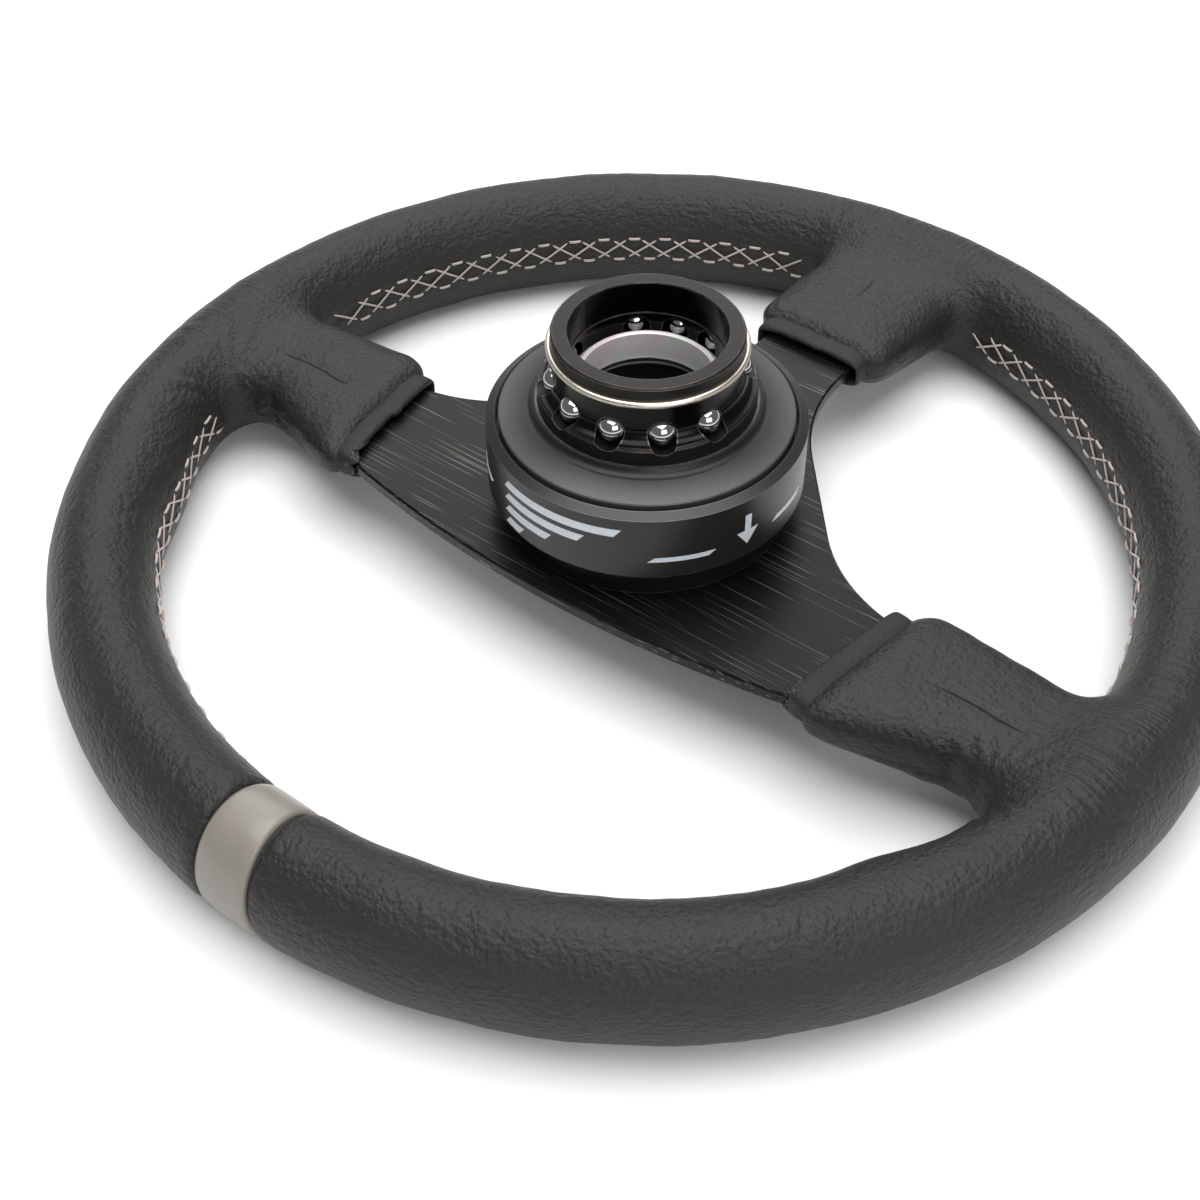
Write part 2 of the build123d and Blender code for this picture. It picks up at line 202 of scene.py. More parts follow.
plate_black = Finish("brushed_black_plate", (0.02, 0.018, 0.017), 0.36, 0.75)
here = plate_black.place()
grain = plate_black.noise(plate_black.stretched(here, (14.0, 1500.0, 1500.0)), 1.0, 3.0, 0.6)
scratch = plate_black.noise(plate_black.stretched(here, (30.0, 2600.0, 2600.0)), 1.0, 0.0)
lines = plate_black.ramp(scratch, [(0.70, 0.0), (0.76, 1.0)])
patches = plate_black.noise(here, 24.0, 2.0)
plate_tone = plate_black.mix(grain, (0.006, 0.0052, 0.0048), (0.020, 0.018, 0.017))
plate_tone = plate_black.mix(lines * 0.35, plate_tone, (0.36, 0.34, 0.32))
plate_black.feed("Base Color", plate_tone)
plate_black.feed("Roughness", 0.22 + grain * 0.16 + patches * 0.1)
plate_black.feed("Normal", plate_black.bump(grain + lines * 0.3, 0.00003, 0.5))
dress(plate_black, "spoke_plate")


# --- leather of the rim and of the spokes ------------------------------------------------------
# Soft black leather, glued over the foam grip and drawn down over the three spokes, where it
# bulges behind each hem. It is stretched smooth, with small wrinkles beside the spokes.
MM = 0.001
GRIP_A, GRIP_B = 15.7, 19.7              # half the grip's width and height
GRIP_R = cad_box[1][0] / MM - GRIP_A     # its centreline
MARKER_AT, MARKER_HALF = radians(90), radians(2.9)
HEM_LENGTH = 6.6
# each spoke's hem, and how the leather's mid-line and half-width run from behind it to the root
SPOKES = {
    "right": {"hem": (81.2, 20.4), "heading": radians(9.2), "width": 44.5, "lean": -1, "side": 1,
              "crease": (98, 132, 1.0)},
    "left": {"hem": (-81.2, 20.4), "heading": radians(170.8), "width": 44.5, "lean": 1, "side": -1,
             "crease": (106, 138, 1.0)},
    "lower": {"hem": (0, -87.5), "heading": radians(270), "width": 37.5, "lean": 0,
              "crease": (112, 132, 0.5)},
}
for spoke in SPOKES.values():
    spoke["length"] = GRIP_R - np.hypot(*spoke["hem"])
    spoke["bulge"], spoke["root"] = (27.2, 19.6) if spoke["lean"] else (24.6, 25.0)
BULGE_AT, ROOT_AT = 10.5, 44.0           # distances from the hem
BULGE_LEAN, ROOT_LEAN = 2.6, 14.0        # how far the mid-line of a side spoke has turned by then
BOOT_HALF_HEIGHT = (9.2, 12.5)           # at the bulge and at the root
BOOT_MIDDLE = (26.9, 22.5)
BOOT_POWER = 3.2                         # how square the section is: 2 would be an ellipse
# 12 o'clock side of each side spoke: the valley where its flank meets the rim
VALLEYS = [(135.5, 38.0, 24.0), (-135.5, 38.0, 24.0)]
# swellings for the thumbs, this far above each side spoke, and how far they stand inwards
THUMB_REST, THUMB_HALF, THUMB_SWELL = radians(32), radians(6), 2.2
SEAM_ARCS = [(16, 148), (186, 72), (282, 72)]    # first angle and span of each, in degrees


def smooth_min(a, b, reach):
    overlap = np.maximum(reach - np.abs(a - b), 0) / reach
    return np.minimum(a, b) - overlap * overlap * reach / 4


def step(x, start, end):
    t = np.clip((x - start) / (end - start), 0, 1)
    return t * t * (3 - 2 * t)


def along_spoke(spoke, x, y):
    """Distance from the hem towards the rim, and across the spoke."""
    c, s = cos(spoke["heading"]), sin(spoke["heading"])
    dx, dy = x - spoke["hem"][0], y - spoke["hem"][1]
    return dx * c + dy * s, dy * c - dx * s


def from_marker(x, y):
    """Angle round the wheel from the marker, between -pi and pi."""
    return np.arctan2(-x, y)


def thumb_rest(x, y):
    """How much the rim swells inwards here, for the thumbs to rest on."""
    from_rest = np.abs(from_marker(x, y)) - (pi / 2 - THUMB_REST)
    return np.exp(-((from_rest / THUMB_HALF) ** 2)) * THUMB_SWELL


def skin_distance(x, y, z):
    """Signed distance in mm, near enough, from the leather's outer face."""
    radius = np.sqrt(x * x + y * y)
    turn = from_marker(x, y)
    rest = thumb_rest(x, y)
    half = GRIP_A + rest / 2
    q = (radius - (GRIP_R - rest / 2)) / half
    w = (z - GRIP_B) / GRIP_B
    k0 = np.sqrt(q * q + w * w) + 1e-6
    k1 = np.sqrt((q / half) ** 2 + (w / GRIP_B) ** 2) + 1e-6
    rim = k0 * (k0 - 1) / k1
    # the ends of the leather turn in on each side of the marker
    end = radius * (MARKER_HALF - np.abs(turn)) + 0.2
    rim = -smooth_min(-rim, -end, 3.2)
    for spoke in SPOKES.values():
        u, v = along_spoke(spoke, x, y)
        reach = np.clip((u - BULGE_AT) / (ROOT_AT - BULGE_AT), -0.3, 1)
        half_width = spoke["bulge"] + (spoke["root"] - spoke["bulge"]) * reach
        v = v - spoke["lean"] * (BULGE_LEAN + (ROOT_LEAN - BULGE_LEAN) * reach)
        half_height, middle = [at_bulge + (at_root - at_bulge) * reach
                               for at_bulge, at_root in (BOOT_HALF_HEIGHT, BOOT_MIDDLE)]
        a, b = np.abs(v) / half_width + 1e-6, np.abs(z - middle) / half_height + 1e-6
        f = (a ** BOOT_POWER + b ** BOOT_POWER) ** (1 / BOOT_POWER)
        slope = np.sqrt((a ** (BOOT_POWER - 1) / half_width) ** 2
                        + (b ** (BOOT_POWER - 1) / half_height) ** 2) / f ** (BOOT_POWER - 1)
        boot = (f - 1) / (slope + 1e-6)
        boot = -smooth_min(-boot, -(HEM_LENGTH - 1.8 - u), 10.0)
        boot = -smooth_min(-boot, spoke["length"] - 3 - u, 12.0)
        rim = smooth_min(rim, boot, 13.0)
    return rim


def surface_net(distance, low, high, cell):
    """Vertices and four-sided faces of the distance's zero surface, one vertex to a cell."""
    axes = [np.arange(a, b + cell, cell, dtype=np.float32) for a, b in zip(low, high)]
    field = distance(axes[0][:, None, None], axes[1][None, :, None], axes[2][None, None, :])
    inside = field < 0
    shape = tuple(n - 1 for n in field.shape)
    total = np.zeros(shape + (3,), np.float32)
    count = np.zeros(shape, np.float32)
    corners = [(i, j, k) for i in (0, 1) for j in (0, 1) for k in (0, 1)]

    def corner(values, c):
        return values[tuple(slice(c[d], values.shape[d] - 1 + c[d]) for d in range(3))]

    for first in corners:
        for d in range(3):
            if first[d]:
                continue
            second = tuple(1 if e == d else first[e] for e in range(3))
            f0, f1 = corner(field, first), corner(field, second)
            crossed = corner(inside, first) != corner(inside, second)
            share = np.where(crossed, f0 / np.where(crossed, f0 - f1, 1), 0)
            for e in range(3):
                total[..., e] += np.where(crossed, share if e == d else first[e], 0)
            count += crossed
    used = count > 0
    index = np.full(shape, -1)
    index[used] = np.arange(used.sum())
    cells = np.argwhere(used)
    points = (cells + total[used] / count[used][:, None]) * cell + [a[0] for a in axes]
    faces = []
    for d in range(3):
        e, g = (d + 1) % 3, (d + 2) % 3
        near = [slice(None)] * 3
        near[d] = slice(0, -1)
        far = [slice(None)] * 3
        far[d] = slice(1, None)
        starts, stops = inside[tuple(near)], inside[tuple(far)]
        at = np.argwhere(starts != stops)
        at = at[(at[:, e] > 0) & (at[:, g] > 0)]
        leaving = starts[tuple(at.T)]
        ring = []
        for back_e, back_g in ((1, 1), (0, 1), (0, 0), (1, 0)):
            c = at.copy()
            c[:, e] -= back_e
            c[:, g] -= back_g
            ring.append(index[tuple(c.T)])
        quads = np.stack(ring, 1)
        quads[~leaving] = quads[~leaving][:, ::-1]
        faces.append(quads)
    return points, np.concatenate(faces)


def neighbour_mean(values, faces):
    total = np.zeros_like(values)
    count = np.zeros(len(values))
    for a in range(4):
        for b in (faces[:, (a + 1) % 4], faces[:, (a + 3) % 4]):
            np.add.at(total, faces[:, a], values[b])
            np.add.at(count, faces[:, a], 1)
    return total / count.reshape((-1,) + (1,) * (values.ndim - 1))


def slope_of(distance, points):
    grad = np.empty_like(points)
    for d in range(3):
        shift = np.zeros(3)
        shift[d] = 0.05
        grad[:, d] = (distance(*(points + shift).T) - distance(*(points - shift).T)) / 0.1
    return grad


def waves(chance, places, lengths, count=12):
    """Smooth noise of about -1 to 1 at each place, from waves of these lengths along each axis."""
    value = np.zeros(len(places))
    for _ in range(count):
        pull = chance.uniform(-1, 1, len(lengths)) / lengths
        value += np.cos(2 * pi * (places @ pull + chance.uniform()))
    return value / np.sqrt(count)


def raise_mesh(name, points, faces, finish, smooth=True):
    """A mesh object from points in mm, with its faces turned outwards."""
    mesh = bpy.data.meshes.new(name)
    points = np.asarray(points, float)
    faces = [tuple(int(i) for i in face) for face in faces]
    volume = 0.0
    for face in faces:
        a, b, c = points[face[0]], points[face[1]], points[face[2]]
        volume += a @ np.cross(b, c)
        if len(face) == 4:
            volume += a @ np.cross(c, points[face[3]])
    if volume < 0:
        faces = [face[::-1] for face in faces]
    mesh.from_pydata((points * MM).tolist(), [], faces)
    mesh.update()
    mesh.polygons.foreach_set("use_smooth", [smooth] * len(faces))
    mesh.materials.append(finish.material)
    made = bpy.data.objects.new(name, mesh)
    bpy.context.scene.collection.objects.link(made)
    return made


def note_on(piece, name, values):
    """Writes a number or a vector on each vertex, for the piece's finish to read."""
    kind, key = ("FLOAT", "value") if values.ndim == 1 else ("FLOAT_VECTOR", "vector")
    attribute = piece.data.attributes.new(name, kind, "POINT")
    attribute.data.foreach_set(key, values.ravel())


leather = Finish("black_leather", (0.02, 0.02, 0.018), 0.6, Specular_IOR_Level=0.26)
here = leather.place()
tight = leather.node("ShaderNodeAttribute", {"attribute_name": "tight"}, {}, "Fac")
lay = leather.node("ShaderNodeAttribute", {"attribute_name": "lay"}, {}, "Vector")
drift = leather.noise(here, 90.0, 3.0)
bent = leather.node("ShaderNodeVectorMath", {"operation": "MULTIPLY_ADD"},
                    {0: drift, 1: (0.003, 0.003, 0.003), 2: here})
pebble = leather.cells(bent, 760.0, "SMOOTH_F1")
fine = leather.noise(here, 1500.0, 3.0, 0.6)
crumple = leather.noise(leather.stretched(here, (260.0, 260.0, 560.0)), 1.0, 3.0, 0.6)
wrinkle = leather.noise(leather.stretched(lay, (520.0, 520.0, 130.0)), 1.0, 3.0, 0.55)
tone = leather.noise(here, 18.0, 3.0)
leather_tone = leather.mix(tone, (0.013, 0.0133, 0.0115), (0.0205, 0.0202, 0.0180))
# distance from the crease, in mm, and how deep it is here
fold = leather.node("ShaderNodeAttribute", {"attribute_name": "fold_line"}, {}, "Vector")
beside = leather.node("ShaderNodeSeparateXYZ", {}, {"Vector": fold}, "X")
folded = (1.0 - abs(beside) * 2.6).clamped() * beside.part("Y")
# painted highlight: the raised ridges of the pebble grain are painted lighter
leather_tone = leather.mix((pebble * 0.45).clamped(), leather_tone, (0.028, 0.0275, 0.0245))
# painted shade: the base colour is darkened along the crease
leather_tone = leather.mix(folded * 0.5, leather_tone, (0.008, 0.008, 0.007))
leather.feed("Base Color", leather_tone)
leather.feed("Roughness", 0.33 + tone * 0.12 + fine * 0.12)
height = pebble * 0.8 + fine * 0.4 + crumple * 1.5 + wrinkle * tight * 2.6 - folded * 1.1
leather.feed("Normal", leather.bump(height, 0.00050, 0.9))

chance = np.random.default_rng(4)
margin = 6.0
skin_points, skin_faces = surface_net(
    lambda x, y, z: skin_distance(x, y, z).astype(np.float32),
    (cad_box[0][0] / MM - margin, cad_box[0][1] / MM - margin, -margin),
    (cad_box[1][0] / MM + margin, cad_box[1][1] / MM + margin, 2 * GRIP_B + margin), 1.3)
for _ in range(3):
    skin_points = skin_points * 0.4 + neighbour_mean(skin_points, skin_faces) * 0.6
for _ in range(3):
    slope = slope_of(skin_distance, skin_points)
    size = (slope ** 2).sum(1)
    skin_points -= slope * (skin_distance(*skin_points.T) / np.maximum(size, 0.3))[:, None]
outwards = slope / np.sqrt(size)[:, None]

x, y, z = skin_points.T
turn = from_marker(x, y)
radius = np.hypot(x, y)
section = np.arctan2((z - GRIP_B) / GRIP_B, (GRIP_R - radius) / GRIP_A)
along_rim = np.stack([GRIP_R * x / radius, GRIP_R * y / radius, z], 1)
tightness = np.zeros(len(x))
crease = np.zeros(len(x))
CREASE_Y = 19.6                          # where it runs on a side spoke
FAR_OFF = 30.0                           # stands for skin that is away from any crease
fold_line = np.tile([FAR_OFF, 0.0, 0.0], (len(x), 1))
for spoke in SPOKES.values():
    u, v = along_spoke(spoke, x, y)
    v = v - spoke["lean"] * ROOT_LEAN * u / ROOT_AT
    beside = np.abs(v) / spoke["root"]
    close = step(u, spoke["length"] * 0.6, spoke["length"]) * (1 - step(beside, 0.9, 2.2))
    close = close * (1 - step(u, spoke["length"] + 4, spoke["length"] + 15))
    tightness = np.maximum(tightness, close)
    # the crease keeps to one line across the back of the boot, from behind the hem to the root
    out_x, out_y = (x * spoke["side"], y - CREASE_Y) if spoke["lean"] else (-y, x)
    off = out_y - 0.5 * np.sin(out_x / 5.0)
    first, last, depth = spoke["crease"]
    run = step(out_x, first, first + 9) * (1 - step(out_x, last - 8, last)) * depth
    top = np.clip(outwards[:, 2] * 2 - 0.6, 0, 1)
    crease += run * np.exp(-((off / 1.5) ** 2)) * top
    near = (np.abs(off) < 12) & (out_x > first - 12) & (out_x < last + 12) & (z > GRIP_B)
    fold_line[near] = np.stack([off, run, 0 * off], 1)[near]
lift = 0.14 * waves(chance, skin_points, (28, 28, 28))
lift += 0.05 * waves(chance, skin_points, (8, 8, 8), 20)
lift += tightness * 0.09 * waves(chance, along_rim, (6.5, 6.5, 40), 16)
lift -= 0.5 * crease
for vx, vy, vz in VALLEYS:
    away = np.sqrt((x - vx) ** 2 + (y - vy) ** 2 + (0.5 * (z - vz)) ** 2)
    fan = np.arctan2(y - vy, np.abs(x) - abs(vx))
    pleats = np.cos(17 * fan + 0.8 * np.sin(away / 6))
    lift += 0.55 * pleats * np.exp(-((away / 17) ** 2)) * step(away, 2, 9)
TROUGH = radians(1.6)                    # how far up the section the two edges meet
for start, span in SEAM_ARCS:
    # the two edges of the leather meet in a shallow trough between the rows of thread
    degrees = np.degrees(np.arctan2(y, x)) % 360
    end = start + span
    sewn = step(degrees, start - 2, start + 1) * (1 - step(degrees, end - 1, end + 2))
    sewn = sewn * (radius < GRIP_R)
    for depth, half_width in ((0.55, radians(6.5)), (0.3, radians(1.3))):
        lift -= depth * sewn * np.exp(-(((section - TROUGH) / half_width) ** 2))
skin_points = skin_points + outwards * np.clip(lift, -1.1, 1.1)[:, None]

leather_skin = raise_mesh("leather_skin", skin_points, skin_faces, leather)
note_on(leather_skin, "lay", along_rim * MM)
note_on(leather_skin, "fold_line", fold_line)
note_on(leather_skin, "tight", tightness)
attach(leather_skin, "wheel")
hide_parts("rim_leather_upper_right", "rim_leather_upper_left",
            "rim_leather_lower_left", "rim_leather_lower_right",
            "spoke_boot_right", "spoke_boot_left", "spoke_boot_lower")


# --- hems of the spoke leather -----------------------------------------------------------------
# Where the leather ends on each spoke it is folded under into a flat band, cut by hand: the band
# has a small step half-way, and its 12 o'clock corner is left rough, with pale fibres showing.

raw_hem = Finish("leather_hem", (0.02, 0.02, 0.018), 0.6, Sheen_Weight=0.03,
                 Specular_IOR_Level=0.26)
here = raw_hem.place()
frayed = raw_hem.node("ShaderNodeAttribute", {"attribute_name": "frayed"}, {}, "Fac")
specks = raw_hem.noise(here, 1900.0, 2.0, 0.7)
pebble = raw_hem.cells(here, 850.0, "SMOOTH_F1")
fibre = ((specks - 0.55) * 9.0).clamped() * frayed
hem_tone = raw_hem.mix(raw_hem.noise(here, 90.0, 3.0),
                       (0.012, 0.0117, 0.0105), (0.020, 0.0195, 0.0175))
raw_hem.feed("Base Color", raw_hem.mix(fibre * 0.8, hem_tone, (0.34, 0.32, 0.28)))
raw_hem.feed("Roughness", 0.5 + specks * 0.2)
raw_hem.feed("Normal", raw_hem.bump(pebble * 0.7 + specks * (0.4 + frayed), 0.00035, 0.8))


def squared_loop(angles, half_width, half_height, power):
    c, s = np.cos(angles), np.sin(angles)
    size = (np.abs(c / half_width) ** power + np.abs(s / half_height) ** power) ** (-1 / power)
    return size * c, size * s


HEM_BAND = 9.5                           # how far the band runs in under the bulge
PLATE_MIDDLE = 28.1                      # height of the middle of the plate
# along the spoke from the cut edge, and from the band's inner face to its outer one
HEM_PROFILE = [(HEM_BAND, 0.42), (9.0, 0.25), (6.0, 0.10), (2.0, 0.0), (0.7, 0.08), (0.1, 0.30),
               (0.0, 0.55), (0.25, 0.80), (0.9, 0.97), (2.2, 1.04), (4.0, 1.06), (5.6, 1.0),
               (6.8, 0.80), (8.2, 0.60)]


def folded_hem(side, spoke):
    """A closed band round the spoke at its hem."""
    angles = np.linspace(0, 2 * pi, 260, endpoint=False)
    across_in, up_in = squared_loop(angles, spoke["width"] / 2 - 0.5, 3.4, 7)
    across_out, up_out = squared_loop(angles, spoke["width"] / 2 + 0.6, 5.6, 4.5)
    c, s = cos(spoke["heading"]), sin(spoke["heading"])
    noise = np.random.default_rng(11)
    round_spoke = 22 * np.stack([np.cos(angles), np.sin(angles)], 1)
    ragged = waves(noise, round_spoke, (5, 5)) * 0.16
    # positive v is the 12 o'clock side of the right spoke and the far side of the left one
    twelve = 1 if side == "right" else -1
    corner = np.exp(-(((across_out * twelve - spoke["width"] / 2) / 4.5) ** 2))
    corner = corner * (side != "lower")
    tatter = waves(noise, round_spoke, (2.2, 2.2)) * corner * 1.1
    notch = 0.9 * step(across_out, -1.5, 0.5) * (up_out > 0) * (side == "right")
    rings, fray = [], []
    for along, out in HEM_PROFILE:
        u = along + (ragged + tatter + notch) * (1 - along / HEM_BAND)
        sag = 0.35 * np.sin(angles * 3 + len(side)) * out
        v = across_in + (across_out - across_in) * out
        w = up_in + (up_out - up_in) * out + sag * 0.4
        x = spoke["hem"][0] + u * c - v * s
        y = spoke["hem"][1] + u * s + v * c
        rings.append(np.stack([x, y, PLATE_MIDDLE + w], 1))
        fray.append(corner * max(0, 1 - along / 3.0))
    return np.array(rings), np.array(fray)


def woven_faces(rows, columns):
    """Faces of a closed grid that joins up both ways."""
    return [(r * columns + c, r * columns + (c + 1) % columns,
             (r + 1) % rows * columns + (c + 1) % columns, (r + 1) % rows * columns + c)
            for r in range(rows) for c in range(columns)]


def strand(path, thickness, sides=5):
    """Points and faces of a thread along a path of points, pointed into the leather at its ends."""
    points, faces = [], []
    for i, centre in enumerate(path):
        before, after = path[max(i - 1, 0)], path[min(i + 1, len(path) - 1)]
        along = (after - before).normalized()
        flat = Vector((-centre.x, -centre.y, 0)).normalized()
        side = along.cross(flat).normalized()
        up = side.cross(along)
        slim = 0.55 if i in (0, len(path) - 1) else 1.0
        for k in range(sides):
            a = 2 * pi * k / sides
            points.append(centre + (side * cos(a) + up * sin(a) * 0.8) * thickness / 2 * slim)
    for i in range(len(path) - 1):
        for k in range(sides):
            a, b = i * sides + k, i * sides + (k + 1) % sides
            faces.append((a, b, b + sides, a + sides))
    last = (len(path) - 1) * sides
    faces.append(tuple(range(sides))[::-1])
    faces.append(tuple(last + k for k in range(sides)))
    return points, faces


def torn_fibres(side, spoke):
    """Short pale ends of thread and hide at the corner where the hem was cut."""
    noise = np.random.default_rng(5)
    c, s = cos(spoke["heading"]), sin(spoke["heading"])
    across = (spoke["width"] / 2 + 0.4) * (1 if side == "right" else -1)
    points, faces = [], []
    for _ in range(26):
        u, w = noise.uniform(-0.4, 3.2), noise.uniform(-3.6, 5.2)
        v = across + np.sign(across) * noise.uniform(-1.8, 0.3)
        root = Vector((spoke["hem"][0] + u * c - v * s, spoke["hem"][1] + u * s + v * c,
                       PLATE_MIDDLE + w))
        way = Vector((-c * noise.uniform(-0.3, 1.2), -s * noise.uniform(-0.3, 1.2),
                      noise.uniform(-0.8, 0.9)))
        way += Vector((-s, c, 0)) * np.sign(across) * noise.uniform(0.1, 1.0)
        bend = Vector(noise.uniform(-0.35, 0.35, 3))
        reach = noise.uniform(0.7, 1.9)
        path = [root + way * reach * t + bend * reach * t * t for t in (-0.2, 0.3, 0.7, 1.0)]
        more, sides = strand(path, noise.uniform(0.18, 0.5), 4)
        faces += [tuple(i + len(points) for i in face) for face in sides]
        points += more
    return points, faces


for side, spoke in SPOKES.items():
    if side != "lower":
        fibres = raise_mesh(f"torn_fibres_{side}", *torn_fibres(side, spoke), raw_hem)
        note_on(fibres, "frayed", np.ones(len(fibres.data.vertices)))
        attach(fibres, "wheel")
    rings, fray = folded_hem(side, spoke)
    hem = raise_mesh(f"spoke_hem_{side}", rings.reshape(-1, 3), woven_faces(*rings.shape[:2]),
                     raw_hem)
    note_on(hem, "frayed", fray.ravel())
    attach(hem, "wheel")


# --- marker at 12 o'clock ----------------------------------------------------------------------
# A narrow band of smooth grey leather let in between the ends of the black one, slightly crowned,
# with its edges tucked in on each side.

marker_grey = Finish("marker_grey", (0.20, 0.182, 0.158), 0.38, Coat_Weight=0.15)
here = marker_grey.place()
cloud = marker_grey.noise(here, 70.0, 3.0)
pores = marker_grey.noise(here, 2600.0, 2.0)
marker_grey.feed("Base Color", marker_grey.mix(cloud, (0.185, 0.168, 0.145), (0.225, 0.205, 0.18)))
marker_grey.feed("Roughness", 0.33 + cloud * 0.1 + pores * 0.05)
marker_grey.feed("Normal", marker_grey.bump(pores + cloud * 2.0, 0.00005, 0.35))

sections = np.linspace(0, 2 * pi, 120, endpoint=False)
# across the band as a share of its half-width, and how far it stands out of the grip
half_crown = [(0.2, 0.2), (0.6, 0.12), (0.87, 0.0), (0.965, -0.35), (1.0, -1.2), (1.0, -2.6)]
crown = [(-share, out) for share, out in half_crown[::-1]] + half_crown
rings = []
for share, out in crown:
    at = MARKER_AT + share * (MARKER_HALF - radians(0.09))
    r = GRIP_R - (GRIP_A + out) * np.cos(sections)
    height = GRIP_B + (GRIP_B + out) * np.sin(sections)
    rings.append(np.stack([r * cos(at), r * sin(at), height], 1))
marker = raise_mesh("marker_leather_band", np.array(rings).reshape(-1, 3),
                    woven_faces(len(crown), len(sections)), marker_grey)
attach(marker, "wheel")
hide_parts("marker_band")


# --- stitching of the rim ----------------------------------------------------------------------
# The leather is closed along the inner side of the rim by a cross stitch in pale waxed thread:
# a short dash in each row, joined by long threads that cross in the trough between the rows.

STITCH_PITCH = 10.7
DASH = 4.3
ROW_ANGLES = (radians(13.3), radians(-10.0))
SEWN_R = GRIP_R - GRIP_A

thread = Finish("pale_thread", (0.43, 0.36, 0.33), 0.7, Sheen_Weight=0.3)
here = thread.place()
plies = thread.noise(thread.stretched(here, (2600.0, 2600.0, 2600.0), (0.4, 0.7, 0.3)), 1.0, 2.0)
thread.feed("Base Color", thread.mix(plies, (0.33, 0.27, 0.25), (0.52, 0.45, 0.42)))
thread.feed("Roughness", 0.6 + plies * 0.2)
thread.feed("Normal", thread.bump(plies, 0.0001, 0.7))


def on_leather(s, angle, out):
    """A point at this distance along the seam and angle up the section, out mm proud of it."""
    r = GRIP_R - (GRIP_A + out) * cos(angle)
    turn = s / SEWN_R
    return Vector((r * cos(turn), r * sin(turn), GRIP_B + (GRIP_B + out) * sin(angle)))


def one_stitch():
    """One repeat of the seam: a dash in each row and the two threads that leave them."""
    upper, lower = ROW_ANGLES
    half = STITCH_PITCH / 2
    runs = []
    for row, start in ((upper, 0.0), (lower, half)):
        shape = [(0.0, -0.5), (0.12, 0.22), (0.5, 0.38), (0.88, 0.22), (1.0, -0.5)]
        runs.append(([on_leather(start + DASH * share, row, out) for share, out in shape], 1.0))
    reach = 1.5 * STITCH_PITCH - DASH
    for row, other, start, raised in ((upper, lower, DASH, 0.3), (lower, upper, DASH + half, 0.05)):
        path = []
        for share in np.linspace(0, 1, 8):
            out = -0.3 + (0.42 + raised * 0.3) * sin(pi * share) ** 0.4 if 0 < share < 1 else -0.5
            out -= 0.25 * sin(pi * share)
            path.append(on_leather(start + reach * share, row + (other - row) * share, out))
        runs.append((path, 0.72))
    points, faces = [], []
    for path, thickness in runs:
        more, sides = strand(path, thickness)
        faces += [tuple(i + len(points) for i in face) for face in sides]
        points += more
    return np.array(points), faces


def seam_tree(unit):
    """Geometry Nodes that repeat one stitch round the wheel's axis."""
    tree = bpy.data.node_groups.new("cross_stitch", "GeometryNodeTree")
    face = tree.interface
    face.new_socket("Geometry", in_out="INPUT", socket_type="NodeSocketGeometry")
    names = {}
    for label in ("Stitch count", "First angle", "Angle between stitches", "Unevenness"):
        kind = "NodeSocketInt" if label == "Stitch count" else "NodeSocketFloat"
        names[label] = face.new_socket(label, in_out="INPUT", socket_type=kind).identifier
    face.new_socket("Geometry", in_out="OUTPUT", socket_type="NodeSocketGeometry")
    add, link = tree.nodes.new, tree.links.new
    given, result = add("NodeGroupInput"), add("NodeGroupOutput")
    stations = add("GeometryNodeMeshLine")
    stations.inputs["Offset"].default_value = (0, 0, 0)
    link(given.outputs["Stitch count"], stations.inputs["Count"])
    number = add("GeometryNodeInputIndex")
    turned = add("ShaderNodeMath")
    turned.operation = "MULTIPLY_ADD"
    link(number.outputs[0], turned.inputs[0])
    link(given.outputs["Angle between stitches"], turned.inputs[1])
    link(given.outputs["First angle"], turned.inputs[2])
    stray = add("FunctionNodeRandomValue")
    stray.data_type = "FLOAT"
    stray.inputs["Seed"].default_value = 7
    opposite = add("ShaderNodeMath")
    opposite.operation = "MULTIPLY"
    opposite.inputs[1].default_value = -1
    link(given.outputs["Unevenness"], opposite.inputs[0])
    link(opposite.outputs[0], stray.inputs[2])
    link(given.outputs["Unevenness"], stray.inputs[3])
    total = add("ShaderNodeMath")
    link(turned.outputs[0], total.inputs[0])
    link(stray.outputs[1], total.inputs[1])
    turn = add("ShaderNodeCombineXYZ")
    link(total.outputs[0], turn.inputs["Z"])
    pattern = add("GeometryNodeObjectInfo")
    pattern.inputs["Object"].default_value = unit
    placed = add("GeometryNodeInstanceOnPoints")
    link(stations.outputs[0], placed.inputs["Points"])
    link(pattern.outputs["Geometry"], placed.inputs["Instance"])
    link(turn.outputs[0], placed.inputs["Rotation"])
    real = add("GeometryNodeRealizeInstances")
    link(placed.outputs[0], real.inputs[0])
    paint = add("GeometryNodeSetMaterial")
    paint.inputs["Material"].default_value = thread.material
    link(real.outputs[0], paint.inputs["Geometry"])
    link(paint.outputs[0], result.inputs[0])
    return tree, names


